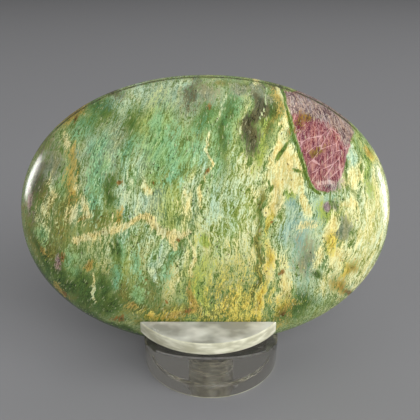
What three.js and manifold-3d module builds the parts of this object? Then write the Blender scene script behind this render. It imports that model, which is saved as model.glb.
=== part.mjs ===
// A polished ruby fuchsite palm stone, standing in the slot of a turned clear acrylic stand.
// Millimetres, +Z up. The stand rests on Z = 0 and the origin is under the middle of the whole.
import * as THREE from 'three';
import { mergeVertices } from 'three/addons/utils/BufferGeometryUtils.js';
import Module from 'manifold-3d';

const wasm = await Module();
wasm.setup();

// The stone: an oval pillow, widest along X, leaning back towards +Y.
const stoneWidth = 71.6;
const stoneHeight = 52.8;
const stoneThickness = 21;
const outlineExponent = 2.1; // 2 is a true ellipse, more is squarer
const sectionExponent = 2.15; // the same for the section from face to back
const stoneLean = THREE.MathUtils.degToRad(14);
const stoneRoll = THREE.MathUtils.degToRad(0.4); // its +X end sits a little higher
const stoneSegmentsAround = 88;
const stoneSegmentsAcross = 44;

// The stand: a round foot with a wider flange on top, slotted right across for the stone.
const footOffsetX = 1.1; // the stone sits this much off the middle of its slot
const footRadius = 13.85;
const footHeight = 11.7;
const flangeOffsetX = 0.55; // the flange was turned slightly off the foot's axis
const flangeRadius = 15.6;
const flangeThickness = 2.45;
const edgeChamfer = 0.3;
const slotWidth = 17.9;
const slotFloorZ = 6.7;
const slotCornerRadius = 0.8;
const slotCornerSteps = 4;
const grooveDepth = 1.9; // a rounded groove in the slot's floor takes the stone's edge
const grooveRadius = 6.5;
const grooveSteps = 16;
const recessRadius = 7.1; // shallow relief under the foot
const recessDepth = 0.5;
const boreRadius = 2.7; // blind bore left by the turning mandrel
const boreDepth = 3.4;
const boreTipHeight = 0.7;
const standSegments = 72;

const seatGap = 0.3; // between the stone and what it touches
const sectionSteps = 1440; // points tried round the stone's section to seat it
const standTopZ = footHeight + flangeThickness;

const stoneMaterial = new THREE.MeshStandardMaterial({ color: 0x7f9a5c, roughness: 0.3, metalness: 0 });
const acrylicMaterial = new THREE.MeshStandardMaterial({
  color: 0xe6e8e0,
  roughness: 0.05,
  metalness: 0,
  transparent: true,
  opacity: 0.35,
});

function mergedPositions(geometry) {
  geometry.deleteAttribute('normal');
  geometry.deleteAttribute('uv');
  return mergeVertices(geometry);
}

function toSolid(geometry) {
  const merged = mergedPositions(geometry);
  const mesh = new wasm.Mesh({
    numProp: 3,
    vertProperties: new Float32Array(merged.attributes.position.array),
    triVerts: new Uint32Array(merged.index.array),
  });
  return new wasm.Manifold(mesh);
}

function toGeometry(solid) {
  const mesh = solid.getMesh();
  const geometry = new THREE.BufferGeometry();
  geometry.setAttribute('position', new THREE.BufferAttribute(mesh.vertProperties, mesh.numProp));
  geometry.setIndex(new THREE.BufferAttribute(mesh.triVerts, 1));
  geometry.computeVertexNormals();
  return geometry;
}

function signedPower(value, exponent) {
  return Math.sign(value) * Math.abs(value) ** exponent;
}

// Each direction from the centre is stretched until the outline and section exponents are met:
// (|x|^outline + |z|^outline)^(section / outline) + |y|^section = 1.
function stoneGeometry() {
  const geometry = new THREE.SphereGeometry(1, stoneSegmentsAround, stoneSegmentsAcross);
  const position = geometry.attributes.position;
  for (let i = 0; i < position.count; i += 1) {
    const x = position.getX(i);
    const y = position.getY(i);
    const z = position.getZ(i);
    const outline = Math.abs(x) ** outlineExponent + Math.abs(z) ** outlineExponent;
    const fullness = outline ** (sectionExponent / outlineExponent) + Math.abs(y) ** sectionExponent;
    const stretch = fullness ** (-1 / sectionExponent);
    position.setXYZ(
      i,
      (x * stretch * stoneWidth) / 2,
      (y * stretch * stoneThickness) / 2,
      (z * stretch * stoneHeight) / 2,
    );
  }
  const merged = mergedPositions(geometry);
  merged.computeVertexNormals();
  return merged;
}

// A point of the stone's upright middle section, leaned back with the stone.
function leanedSectionPoint(turn) {
  const y = (signedPower(Math.cos(turn), 2 / sectionExponent) * stoneThickness) / 2;
  const z = (signedPower(Math.sin(turn), 2 / sectionExponent) * stoneHeight) / 2;
  return new THREE.Vector3(0, y, z).applyAxisAngle(new THREE.Vector3(1, 0, 0), -stoneLean);
}

// The stone is lowered until it is a seat gap above the bottom of the groove,
// then moved forward until its face is a seat gap behind the front jaw.
function stonePlace() {
  const points = [];
  for (let step = 0; step < sectionSteps; step += 1) {
    points.push(leanedSectionPoint((step / sectionSteps) * 2 * Math.PI));
  }
  const lowest = Math.min(...points.map((point) => point.z));
  const centreZ = slotFloorZ - grooveDepth + seatGap - lowest;
  const inSlot = points.filter((point) => point.z + centreZ <= standTopZ);
  const foremost = Math.min(...inSlot.map((point) => point.y));
  const centreY = seatGap - slotWidth / 2 - foremost;
  const lowestPoint = points.find((point) => point.z === lowest);
  return { centre: new THREE.Vector3(0, centreY, centreZ), grooveY: centreY + lowestPoint.y };
}

function palmStone() {
  const mesh = new THREE.Mesh(stoneGeometry(), stoneMaterial);
  mesh.name = 'palm_stone';
  mesh.rotation.set(-stoneLean, -stoneRoll, 0); // rolled in its own plane, then leaned back
  mesh.position.copy(stonePlace().centre);
  return mesh;
}

// Half the stand's section, from the bore's tip on the axis round to the middle of the top,
// turned about the foot's axis, with the flange's rings then moved to its own.
function turnedBlank() {
  const profile = [
    [0, boreDepth + boreTipHeight],
    [boreRadius, boreDepth],
    [boreRadius, recessDepth],
    [recessRadius, recessDepth],
    [recessRadius, 0],
    [footRadius - edgeChamfer, 0],
    [footRadius, edgeChamfer],
    [footRadius, footHeight],
    [flangeRadius - edgeChamfer, footHeight],
    [flangeRadius, footHeight + edgeChamfer],
    [flangeRadius, standTopZ - edgeChamfer],
    [flangeRadius - edgeChamfer, standTopZ],
    [0, standTopZ],
  ];
  const points = profile.map(([radius, height]) => new THREE.Vector2(radius, height));
  const geometry = new THREE.LatheGeometry(points, standSegments);
  geometry.rotateX(Math.PI / 2); // the lathe turns about Y, the stand about Z
  const position = geometry.attributes.position;
  for (let i = 0; i < position.count; i += 1) {
    const radius = Math.hypot(position.getX(i), position.getY(i));
    const onFlange = position.getZ(i) > standTopZ - flangeThickness / 2 || radius > footRadius + seatGap;
    position.setX(i, position.getX(i) + (onFlange ? flangeOffsetX : footOffsetX));
  }
  return geometry;
}

// The slot's section has small round corners at its floor, with the groove between them under the
// stone's lowest point, and runs past both ends along X.
function slotCutter() {
  const half = slotWidth / 2;
  const overshoot = 2;
  const cornerY = half - slotCornerRadius;
  const cornerZ = slotFloorZ + slotCornerRadius;
  const section = new THREE.Shape();
  section.moveTo(-half, standTopZ + overshoot);
  section.lineTo(-half, cornerZ);
  section.absarc(-cornerY, cornerZ, slotCornerRadius, Math.PI, 1.5 * Math.PI);
  const grooveY = stonePlace().grooveY;
  const grooveCentreZ = slotFloorZ - grooveDepth + grooveRadius;
  const grooveTurn = Math.acos(1 - grooveDepth / grooveRadius);
  for (let step = 0; step <= grooveSteps; step += 1) {
    const turn = grooveTurn * ((2 * step) / grooveSteps - 1);
    const y = grooveY + grooveRadius * Math.sin(turn);
    section.lineTo(y, grooveCentreZ - grooveRadius * Math.cos(turn));
  }
  section.absarc(cornerY, cornerZ, slotCornerRadius, 1.5 * Math.PI, 2 * Math.PI);
  section.lineTo(half, standTopZ + overshoot);
  section.closePath();
  const length = 2 * (flangeRadius + overshoot);
  const geometry = new THREE.ExtrudeGeometry(section, {
    depth: length,
    bevelEnabled: false,
    curveSegments: slotCornerSteps,
  });
  geometry.translate(0, 0, -length / 2);
  geometry.rotateX(Math.PI / 2); // the section's height becomes Z
  geometry.rotateZ(Math.PI / 2); // and its length X
  return geometry;
}

function stand() {
  const solid = toSolid(turnedBlank()).subtract(toSolid(slotCutter()));
  const mesh = new THREE.Mesh(toGeometry(solid), acrylicMaterial);
  mesh.name = 'stand';
  return mesh;
}

const model = new THREE.Group();
model.add(palmStone(), stand());

export default model;
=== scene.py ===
import math

import bmesh
import bpy
import mathutils
import numpy as np
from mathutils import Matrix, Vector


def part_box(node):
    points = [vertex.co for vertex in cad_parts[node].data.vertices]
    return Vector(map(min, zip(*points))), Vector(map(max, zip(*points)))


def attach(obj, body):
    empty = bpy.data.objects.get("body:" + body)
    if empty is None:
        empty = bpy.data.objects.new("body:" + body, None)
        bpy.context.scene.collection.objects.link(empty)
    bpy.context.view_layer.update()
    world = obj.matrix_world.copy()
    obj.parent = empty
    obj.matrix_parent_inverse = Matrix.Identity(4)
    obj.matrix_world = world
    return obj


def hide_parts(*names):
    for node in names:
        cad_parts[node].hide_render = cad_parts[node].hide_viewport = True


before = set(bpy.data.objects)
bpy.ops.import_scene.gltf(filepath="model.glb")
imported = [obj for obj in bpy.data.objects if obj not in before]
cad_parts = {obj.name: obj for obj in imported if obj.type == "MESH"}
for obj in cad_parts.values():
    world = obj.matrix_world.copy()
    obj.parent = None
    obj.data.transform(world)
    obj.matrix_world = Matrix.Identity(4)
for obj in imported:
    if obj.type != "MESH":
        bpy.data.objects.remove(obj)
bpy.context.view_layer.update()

mm = 0.001

camera = {
    "place": (0.9, -95.95, 76.87),  # mm
    "lookDown": 24.5,  # degrees
    "lens": 48.0,
    "sensor": 36.0,
    "nearest": 0.001,  # m, what it sees from and to
    "farthest": 10,
}

cameraData = bpy.data.cameras.new("camera")
cameraData.lens = camera["lens"]
cameraData.sensor_width = camera["sensor"]
cameraData.clip_start = camera["nearest"]
cameraData.clip_end = camera["farthest"]
cameraObject = bpy.data.objects.new("camera", cameraData)
bpy.context.scene.collection.objects.link(cameraObject)
cameraObject.location = [v * mm for v in camera["place"]]
cameraObject.rotation_euler = (math.radians(90 - camera["lookDown"]), 0, 0)
bpy.context.scene.camera = cameraObject


# A hex colour from sRGB to linear: each channel is c / 12.92 in the dark, and above that
# ((c + 0.055) / 1.055) to the power 2.4.
def toLinear(hexColour):
    channels = [int(hexColour[i:i + 2], 16) / 255 for i in (1, 3, 5)]
    return [c / 12.92 if c <= 0.04045 else ((c + 0.055) / 1.055) ** 2.4 for c in channels] + [1.0]


# Adds one node, sets its options, and fills or links each socket named or numbered in sockets.
def addNode(tree, kind, options=None, sockets=None):
    node = tree.nodes.new("ShaderNode" + kind)
    for name, value in (options or {}).items():
        setattr(node, name, value)
    for name, value in (sockets or {}).items():
        if isinstance(value, bpy.types.NodeSocket):
            tree.links.new(value, node.inputs[name])
        else:
            node.inputs[name].default_value = value
    return node


def newMaterial(name):
    material = bpy.data.materials.new(name)
    material.use_nodes = True
    material.node_tree.nodes.clear()
    return material


# A mesh from points in millimetres and rows of corner numbers, smooth all over.
def newPiece(name, points, faces):
    mesh = bpy.data.meshes.new(name)
    mesh.from_pydata((points * mm).tolist(), [], faces)
    mesh.update()
    mesh.shade_smooth()
    piece = bpy.data.objects.new(name, mesh)
    bpy.context.scene.collection.objects.link(piece)
    return piece


# Turns a closed mesh's faces so that they all look outwards.
def faceOutwards(mesh):
    shape = bmesh.new()
    shape.from_mesh(mesh)
    bmesh.ops.recalc_face_normals(shape, faces=shape.faces)
    shape.to_mesh(mesh)
    shape.free()


print("camera and helpers ready")

# Sizes in millimetres.
stone = {
    "width": 71.6,
    "height": 52.8,
    "thickness": 21.0,
    "outlinePower": 2.1,
    "sectionPower": 2.15,
    "lean": 14.0,  # degrees, top towards the back
    "roll": 0.4,  # degrees, +X end up
    "rings": 256,  # from end to end
    "turns": 384,  # round each ring
    "inset": 0.03,  # keeps the fine surface inside the plain one
    "unevenness": 0.05,  # what hand lapping leaves
    "samples": 4000,  # tried round a curve to space the rings and turns evenly
}


# Values spaced evenly along a curve: the curve's length so far, read back at equal steps.
def evenSteps(values, curve, count):
    length = np.concatenate([[0], np.cumsum(np.linalg.norm(np.diff(curve, axis=0), axis=1))])
    return np.interp(np.linspace(0, length[-1], count), length, values)


# A direction from the centre stretched until (|x|^o + |z|^o)^(s/o) + |y|^s = 1, times the half sizes.
def stonePoints(direction, stone):
    x, y, z = np.abs(direction).T
    outline = x ** stone["outlinePower"] + z ** stone["outlinePower"]
    fullness = outline ** (stone["sectionPower"] / stone["outlinePower"]) + y ** stone["sectionPower"]
    stretch = fullness ** (-1 / stone["sectionPower"])
    half = np.array([stone["width"], stone["thickness"], stone["height"]]) / 2
    return direction * stretch[:, None] * half


# Longitude runs round the X axis and latitude from one end to the other:
# direction = (sin lat, cos lat cos lon, cos lat sin lon), both spaced evenly along the surface.
def stoneGrid(stone):
    fine = np.linspace(-math.pi / 2, math.pi / 2, stone["samples"] // 2 + 1)
    edge = stonePoints(np.stack([np.sin(fine), 0 * fine, np.cos(fine)], 1), stone)
    latitude = evenSteps(fine, edge, stone["rings"] + 1)[1:-1]
    fine = np.linspace(0, 2 * math.pi, stone["samples"] + 1)
    section = stonePoints(np.stack([0 * fine, np.cos(fine), np.sin(fine)], 1), stone)
    longitude = evenSteps(fine, section, stone["turns"] + 1)[:-1]
    lat, lon = np.meshgrid(latitude, longitude, indexing="ij")
    direction = np.stack([np.sin(lat), np.cos(lat) * np.cos(lon), np.cos(lat) * np.sin(lon)], -1)
    return np.concatenate([[[-1.0, 0, 0]], direction.reshape(-1, 3), [[1.0, 0, 0]]])


# Quads between neighbouring rings, and a fan of triangles at each end.
def ringFaces(ringCount, turnCount):
    ring, turn = np.meshgrid(np.arange(ringCount - 1), np.arange(turnCount), indexing="ij")
    nextTurn = (turn + 1) % turnCount
    a = 1 + ring * turnCount + turn
    b = 1 + ring * turnCount + nextTurn
    quads = np.stack([a, b, b + turnCount, a + turnCount], -1).reshape(-1, 4).tolist()
    around = np.arange(turnCount)
    after = (around + 1) % turnCount
    last = 1 + (ringCount - 1) * turnCount
    startFan = np.stack([0 * around, 1 + after, 1 + around], -1).tolist()
    endFan = np.stack([0 * around + last + turnCount, last + around, last + after], -1).tolist()
    return quads + startFan + endFan


# Slow swells: a sum of a few sine waves over the surface, from 0 to 1.
def swells(points):
    x, y, z = points.T
    wave = np.sin(x / 5.1 + 0.9 * np.sin(z / 6.3)) * np.cos(z / 4.3 - 0.4)
    wave += 0.6 * np.sin(x / 2.9 - z / 3.7 + 1.3) + 0.4 * np.sin(y / 2.3 + x / 7)
    return (wave + 2) / 4


# Rolls about Y and then leans about X, as the stone stands, and moves it to its place.
def standStone(points, stone, centre):
    x, y, z = points.T
    roll, lean = math.radians(stone["roll"]), math.radians(stone["lean"])
    x, z = x * math.cos(roll) - z * math.sin(roll), x * math.sin(roll) + z * math.cos(roll)
    y, z = y * math.cos(lean) + z * math.sin(lean), z * math.cos(lean) - y * math.sin(lean)
    return np.stack([x, y, z], 1) + centre


# Each lens is (x, z, half length, half width, lean in degrees, strength), each vein is
# (half width, strength, its points), each outline is (strength, its points), all in millimetres
# on the stone's own face, seen from the front.
frontMarkings = {
    "mint": {"lenses": [
        (-4.6, 22.1, 3.7, 9.3, 0, 0.9), (-17.8, 11.7, 7.5, 4.5, 12, 0.9),
        (-9.5, 13.1, 6.7, 1.9, 26, 0.7), (-9.3, 3.3, 3, 4.5, 20, 0.7), (5.7, 22.5, 2.6, 4.5, 0, 0.6),
        (-1.2, 2.6, 3.7, 2.6, 10, 0.5), (-8.2, -6.9, 4.9, 1.3, 14, 0.6), (17.8, 4.8, 1.9, 2.6, 0, 0.8),
        (-16.3, 14.8, 4.9, 1.5, 12, 0.9), (2.1, -5.6, 5.6, 1.1, 8, 0.4), (-28.7, -2.8, 3, 1.9, 0, 0.6),
        (-29.6, 2.8, 1.9, 1.5, 0, 0.4), (0.2, -3.9, 4.9, 1.9, 8, 0.4), (-5.1, 1.2, 3, 1.5, 14, 0.6),
        (-7.5, 5.8, 3, 1.9, 14, 0.8), (-7.9, 2.3, 2.2, 2.2, 10, 0.7), (-14.5, -1.4, 1.5, 1.5, 0, 0.5),
        (-4.4, 3.3, 3, 1.5, 12, 0.6), (21, 1.4, 1.9, 1.5, 0, 0.6), (-1.2, 4, 4.5, 2.2, 12, 0.4),
        (3, -14.6, 3, 1.9, 6, 0.5), (-32.1, 7.7, 2.6, 1.1, 0, 0.5), (-22.7, 12.3, 1.9, 1.1, 0, 0.4),
    ]},
    "paleYellow": {"lenses": [
        (30.8, -1.9, 12.3, 4.5, 12, 1.1), (28.2, -8.3, 6.4, 2.6, 22, 0.8),
        (27.4, 8.1, 3.4, 2.2, 0, 0.7), (-2.9, 4.4, 2.2, 0.7, 20, 0.3), (-10.9, -7, 3, 1.1, 14, 0.4),
        (-6.1, -10.8, 4.9, 0.9, 16, 0.8), (-18.4, -8.4, 2.6, 0.9, 0, 0.7),
        (-30.9, 11, 2.6, 1.1, 10, 0.4), (9.4, 6.4, 2.2, 1.5, 6, 0.5), (0.2, -2.8, 4.1, 1.5, 8, 0.45),
        (8, -3.7, 4.1, 1.5, 6, 0.45), (22.5, -12.7, 1.9, 1.7, 0, 0.6), (25.6, 1.2, 3, 2.1, 0, 0.6),
        (18, -7.4, 2.2, 1.1, 0, 0.4), (4.8, -7, 2.6, 1.9, 6, 0.4), (6.3, -10.9, 2.6, 2.2, 0, 0.35),
        (21.1, -2.3, 2.6, 1.5, 0, 0.5), (18.3, -5.9, 1.9, 1.1, 0, 0.4), (-16.7, -3, 1.9, 1.9, 0, 0.3),
        (5.2, -11.3, 3, 2.2, 0, 0.3), (0.8, -8.5, 3.7, 1.9, 6, 0.35), (18.3, -7.5, 1.9, 1.7, 0, 0.5),
        (22.7, -3.5, 2.2, 1.5, 0, 0.5), (9.4, 9.9, 2.2, 1.3, 6, 0.5), (7.3, 9.2, 1.9, 1.1, 8, 0.3),
    ]},
    "yellowGreen": {"lenses": [
        (4.8, 1.1, 17.2, 5.6, 8, 0.8), (0.3, -2.5, 1.1, 0.9, 0, 0.9), (0, -6.9, 12, 3, 8, 0.9),
        (-16.6, -0.2, 3.7, 3, 0, 0.5), (-6.9, 9.3, 2.6, 2.6, 0, 0.5), (-5.2, 3.5, 7.5, 2.6, 16, 0.6),
        (-15.5, -8.3, 6.4, 3, 0, 0.5), (9.4, 11.2, 4.9, 1.5, 8, 0.7), (-9.9, 16.9, 3.4, 1.1, 24, 0.4),
        (8.7, 10.9, 2.6, 1.3, 8, 0.5), (10.2, -3, 3, 0.9, 4, 0.4), (5.6, -15.5, 2.6, 3, 0, 0.5),
    ]},
    "olive": {"lenses": [
        (-29.8, 7.9, 7.5, 2.2, 6, 0.5), (-29.7, -4.8, 7.5, 4.1, -12, 0.8),
        (-3.9, -17.1, 1.9, 11.6, 0, 0.7), (5.6, -15, 4.1, 4.1, 0, 0.4),
        (-22.1, 17.2, 1.9, 1.9, 30, 0.6), (-15.3, 16.5, 2.6, 1.7, 20, 0.6),
        (-25.1, 2.7, 3.7, 1.9, 0, 0.6), (-19.7, 0.3, 2.2, 2.2, 0, 0.5), (11.5, 18.8, 3.7, 0.9, 6, 0.9),
        (9.6, -11.6, 7.9, 0.6, 2, 1), (-26.5, -1.1, 3, 2.2, 0, 0.4), (9.4, -3, 6.4, 0.4, 3, 1),
        (9.6, 3.4, 2.6, 0.6, 6, 0.8), (-22.9, -13.7, 4.1, 3.4, -30, 0.6), (6.5, 24.5, 0.5, 5.6, 4, 0.6),
        (-10.3, -13.8, 3, 2.6, 10, 0.45), (-15.9, -14, 3, 1.9, 0, 0.5),
        (-13.1, -16.9, 1.9, 2.6, 0, 0.6), (-7.9, -19.5, 0.9, 4.5, 0, 0.8),
        (-25.2, 1.6, 2.6, 1.9, 0, 0.5), (-20.6, 2.4, 2.2, 1.7, 0, 0.6),
        (-13.7, -14.7, 1.9, 1.9, 0, 0.6), (11.7, 19.5, 3.4, 1.3, 6, 1.3), (-28.3, 4, 3.4, 1.5, 0, 0.6),
    ]},
    "emerald": {"lenses": [
        (-7.8, 14, 5.2, 2.6, 16, 0.9), (-0.4, 18.6, 2.2, 1.5, 20, 1.2), (-20.2, 21.3, 1.5, 2.8, 30, 1),
        (-20.8, 18.6, 1.1, 1.3, 20, 0.6), (-8.3, -6.2, 3.7, 1.1, 10, 0.9),
        (-12.7, -14.3, 2.2, 1.5, 25, 0.7), (-3.2, 13.1, 3.7, 1.5, 15, 0.6),
        (-12.8, 6.8, 2.6, 1.1, 18, 0.9), (19.9, 3.3, 1.5, 1.7, 0, 0.6),
        (-14.8, -5.2, 3.4, 0.9, 10, 0.9), (4.2, 18.5, 5.6, 1.5, 8, 0.9), (1.9, 11.3, 6.4, 1.3, 8, 0.6),
        (16, -14, 2.6, 0.7, 0, 0.7), (-25.2, -8.8, 2.6, 1.5, 0, 0.5), (-26.1, 8.4, 2.6, 0.9, 10, 0.5),
        (-29.9, -2.1, 1.9, 1.5, 0, 0.5), (-18.6, 8.2, 3.7, 1.5, 10, 0.6), (0.7, 18.9, 3, 1.7, 10, 0.9),
        (0.3, 20.3, 2.2, 1.7, 10, 0.9),
    ]},
    "teal": {"lenses": [
        (17.8, -3.2, 7.9, 4.5, 0, 1.2), (15.1, 2, 3, 1.7, 0, 1.1), (21, 3.9, 1.5, 3, 0, 0.8),
        (26.1, 12.3, 4.1, 0.9, -15, 0.9), (18.4, -12.1, 4.9, 2.6, 0, 0.9),
        (1.1, 22.2, 1.5, 1.7, 0, 0.8), (-13.9, 5.1, 2.6, 1.3, 16, 0.5),
        (-11.6, 23.7, 0.6, 1.5, 40, 0.9), (-3.6, 24.4, 0.6, 1.5, 0, 0.9),
        (-8.2, -6.9, 3.4, 0.9, 12, 0.8), (-15.4, 19.7, 3.7, 2.6, 20, 0.5),
        (-13.6, 3.3, 2.6, 1.5, 0, 0.2), (3, 4.7, 3.7, 1.7, 8, 0.25),
    ]},
    # A dark green mineral; its lenses near the lower-left edge (x below -15, z below -7) are partly the
    # mineral and partly painted shade, darker towards the edge where the stone turns away from the
    # light.
    "deepGreenAndPaintedShade": {"lenses": [
        (-20.2, 21.3, 1.3, 2.4, 30, 0.35), (-16.3, 5, 2.6, 0.7, 8, 0.6),
        (-15.6, -5.2, 3.4, 0.6, 8, 1.2), (-16.8, -4.8, 1.9, 0.4, 5, 1.2),
        (-18.9, -13.3, 4.5, 1.1, 3, 0.9), (-21.8, -14, 4.1, 2.2, 0, 0.8),
        (-25.2, -12.2, 1.9, 1.9, 0, 1), (-22.7, 9.2, 2.6, 0.4, -6, 1), (-18, 19.3, 1.7, 1.9, 30, 0.4),
        (-12.8, 17.6, 1.5, 1.1, 20, 0.35), (3.8, 17.5, 4.9, 0.7, 8, 0.5),
        (17.2, -16.6, 3, 1.9, 20, 0.7), (20.6, -10.8, 0.6, 1.5, 30, 1.1),
        (-29.7, -14.6, 6.4, 1.3, -40, 0.8), (-23.8, -19.8, 1.1, 4.5, 30, 0.8),
        (-30.6, -8.2, 3, 0.9, -15, 0.7), (25.7, 9.1, 3.7, 0.4, -14, 0.7), (22.7, 2.1, 1.3, 0.6, 0, 0.7),
        (-24.7, -11.9, 1.3, 1.3, 0, 1.4), (-29.6, -14.5, 8.2, 1.7, -36, 1.4),
        (-20.2, -21.7, 1.5, 6.4, 24, 1.3), (-30.5, -7.4, 4.5, 0.9, -16, 1),
        (-15.1, -22.8, 0.9, 4.5, 12, 0.9), (-28.2, -15.7, 3.7, 2.2, -34, 1.3),
        (-23.3, -19.2, 2.6, 3.4, 28, 1.2), (-18.5, -16.4, 2.2, 2.2, 20, 0.9),
        (-27.5, -10.7, 2.6, 1.5, -20, 0.8), (-26.5, -12.3, 2.2, 2.2, -20, 1),
        (9.8, 24.1, 0.6, 2.6, 10, 0.6), (-23, -11.1, 2.2, 1.5, -10, 1), (11.3, 20.2, 2.2, 0.6, 6, 0.6),
        (0.3, 20.6, 1.9, 1.3, 10, 0.35),
    ]},
    "cream": {"lenses": [
        (11.3, -7.2, 4.1, 1.1, 2, 1.2), (10.8, -14.8, 4.9, 0.8, 4, 1), (26.1, 2.4, 0.9, 1.7, 0, 1.8),
        (22.8, -2.6, 3.4, 0.9, 0, 0.9), (24.7, -7.9, 2.6, 1.7, 20, 0.8),
        (21.2, -7.6, 2.2, 0.9, 30, 0.6), (14, -11.8, 4.9, 1.1, 0, 0.7), (-9.8, 7.2, 0.7, 1.1, 60, 0.7),
        (-21, -12.2, 3, 0.3, 2, 0.8), (0.6, 11.7, 5.6, 0.2, 5, 0.8), (-0.1, 5.1, 2.2, 0.5, 4, 0.8),
        (-2.6, -6.2, 3.4, 0.4, 2, 0.8), (27.8, 7.9, 2.2, 1.5, 0, 0.7), (10.5, 2.1, 1.1, 0.7, 0, 1.2),
        (-3.3, 4.4, 2.6, 0.3, 14, 0.7), (18, 2.8, 1.9, 0.6, -14, 0.8), (-29.2, 1.7, 1.9, 0.9, 0, 0.3),
        (-28.2, 5.8, 1.5, 0.5, 0, 0.3),
    ], "veins": [
        (0.41, 0.7, [(13.8, 23.8), (13.7, 20.5), (14.1, 17.7)]),
    ], "outlines": [
        (1, [(14.3, 17.4), (14.6, 16.7), (15.1, 14.6), (16.2, 12.5), (17.4, 9.4), (18.3, 6.2),
            (18.6, 3.1), (17.7, 1.2), (16.6, 2.7), (16.7, 4.8), (15.6, 6.3), (14.2, 5.6), (13, 3.5),
            (11.9, 0.6), (11, 1.7), (11.3, 4.9), (12.2, 7.4), (11.2, 9.5), (11.5, 12.1), (13.3, 14.5),
            (14.1, 16.7)]),
    ]},
    "gold": {"lenses": [
        (11.4, 0.3, 2.4, 0.6, 4, 1.3), (10.8, -14.8, 5.2, 0.6, 3, 1.3), (11.1, -6.4, 3, 0.6, 0, 0.9),
        (23.3, -4.9, 1.9, 0.9, 0, 1), (29.9, 11.7, 1.7, 0.9, -20, 0.8), (26.7, -9.8, 1.7, 0.9, 30, 1),
        (14.1, -17.2, 2.6, 0.9, 0, 0.8), (-6.7, -17.6, 0.7, 3.7, 0, 0.5), (-3.1, -14.5, 3, 0.7, 4, 0.9),
        (8.6, -16, 2.6, 0.7, 4, 0.3), (5.6, -15.9, 2.2, 1.5, 0, 0.12),
    ]},
    "ochre": {"lenses": [
        (-24.6, 19.3, 0.9, 3.2, -52, 1.1), (-22.3, 1.1, 0.9, 0.7, 0, 1.3),
        (-21.5, -7.3, 1.3, 0.9, 0, 1.2), (-14.8, -16.6, 0.9, 0.9, -20, 1.2),
        (-2.9, -13.7, 3.4, 0.8, 4, 1), (-5.6, -17.8, 0.7, 3.4, 0, 0.9), (14.6, -18.4, 2.2, 1.1, 0, 0.9),
        (25.8, -13.1, 1.1, 1.7, 40, 0.7), (-22.4, 4.2, 1.7, 0.6, 0, 0.8),
        (-27.2, -14.1, 0.9, 1.3, 40, 1.2), (-30.5, -5.7, 1.1, 0.6, 0, 1),
        (27.5, -9.5, 1.5, 0.7, 30, 0.8), (29.8, 12.4, 1.3, 0.7, -20, 0.9),
        (-15.8, 1.1, 0.4, 1.3, -50, 0.7), (13, 21.6, 1.7, 0.6, 0, 0.7),
    ], "veins": [
        (0.56, 0.25, [(-23.8, 13.7), (-23.6, 11.3), (-24.6, 7.9), (-24.3, 5.2)]),
    ]},
    "smoke": {"lenses": [
        (9.2, 19.9, 2.8, 1.5, 14, 1.7), (8.1, 17.5, 3, 1.3, 12, 1.2), (8.7, 15, 2.2, 1.1, 10, 0.8),
        (-16.9, 23.4, 0.7, 2.2, 30, 0.5), (-2.5, 23.1, 2.2, 0.9, 20, 0.4),
        (-31.2, 7.4, 4.9, 1.1, 8, 0.5), (13.8, 23.8, 0.7, 1.9, 20, 0.5),
        (-28, -16.5, 0.7, 1.1, 40, 0.8),
    ]},
    "mauve": {"lenses": [
        (21.9, 2.6, 0.9, 0.7, 0, 1.3), (22.8, 6.4, 0.9, 1.5, 0, 0.5), (-27.5, -7.8, 1.7, 0.6, 10, 0.8),
        (-32.6, 2.9, 2.2, 0.5, 2, 0.5),
    ], "outlines": [
        (1, [(14.7, 23.2), (14.8, 20.9), (15.3, 18.8), (16.8, 19.1), (17.8, 17.7), (20.4, 17.8),
            (22.7, 17.3), (24.3, 15.5), (25.4, 13.3), (26.7, 14.3), (27.6, 15.9), (26.9, 17.9),
            (24.3, 19.8), (20.7, 21.9), (17.4, 23.4)]),
    ]},
    "ruby": {"outlines": [
        (1, [(14.7, 23.2), (14.8, 20.9), (15.4, 18.4), (16.1, 15.6), (16.9, 12.9), (17.8, 10.2),
            (18.9, 7.2), (20.2, 5.8), (22.1, 5.2), (23.7, 6.2), (24.9, 8.8), (25.5, 11.4), (26.5, 14),
            (27.5, 15.7), (26.8, 17.9), (24.5, 19.7), (20.7, 21.8), (17.6, 23.4)]),
    ]},
    "peach": {"lenses": [
        (-24.2, 2, 1.3, 0.7, 10, 0.9), (-24.9, 15.3, 0.9, 0.9, 0, 1), (12.9, 5.6, 2.8, 0.6, 14, 1),
        (12.6, 3.3, 1.5, 0.7, 10, 0.8), (18.1, -0.5, 0.7, 1.3, 0, 0.9), (15.1, 9.1, 2.2, 0.7, -14, 0.5),
        (-22.4, 3.1, 2.6, 0.7, 0, 0.7),
    ], "veins": [
        (0.56, 1.1, [(-23.2, -4), (-19.3, -2.1), (-17, -1.1)]),
        (0.75, 1.3, [(-17, -1.1), (-14.2, 0.4), (-11.9, 1), (-10.1, 0.3), (-8.2, -1.3), (-6.2, -1.9)]),
        (0.79, 1, [(-6.6, -1.9), (-4.4, -2.1), (-3.2, -1.3)]),
        (0.26, 0.8, [(-16.9, 0.9), (-16.3, -0.4)]),
        (0.45, 0.7, [(-6.1, -2.4), (-6.1, -4.7)]),
    ]},
    "rust": {"lenses": [
        (16.1, 17, 0.6, 1.7, -60, 0.9), (19.8, 12.3, 0.7, 1.5, -20, 1), (18.3, 17.7, 0.6, 0.9, 0, 0.7),
        (-27, -7.2, 0.9, 0.6, 0, 1.2), (0.1, 9.4, 0.6, 0.3, 0, 1.3), (-8.3, 8.4, 0.3, 0.4, 30, 1.2),
        (-15, 6.5, 0.4, 0.4, 0, 1.3), (-4.8, -2.8, 0.5, 0.4, 0, 1.2), (-16.2, -20.1, 0.7, 1.1, 0, 0.8),
        (14.8, -18.9, 0.9, 0.7, 0, 1.1), (12.1, 0.1, 0.3, 0.3, 0, 1.3), (13.2, -9.2, 0.6, 0.4, 50, 1.2),
        (0.9, 20.6, 0.6, 0.4, 0, 1.1), (27.4, -14.6, 0.6, 1.1, 50, 0.9),
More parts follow.
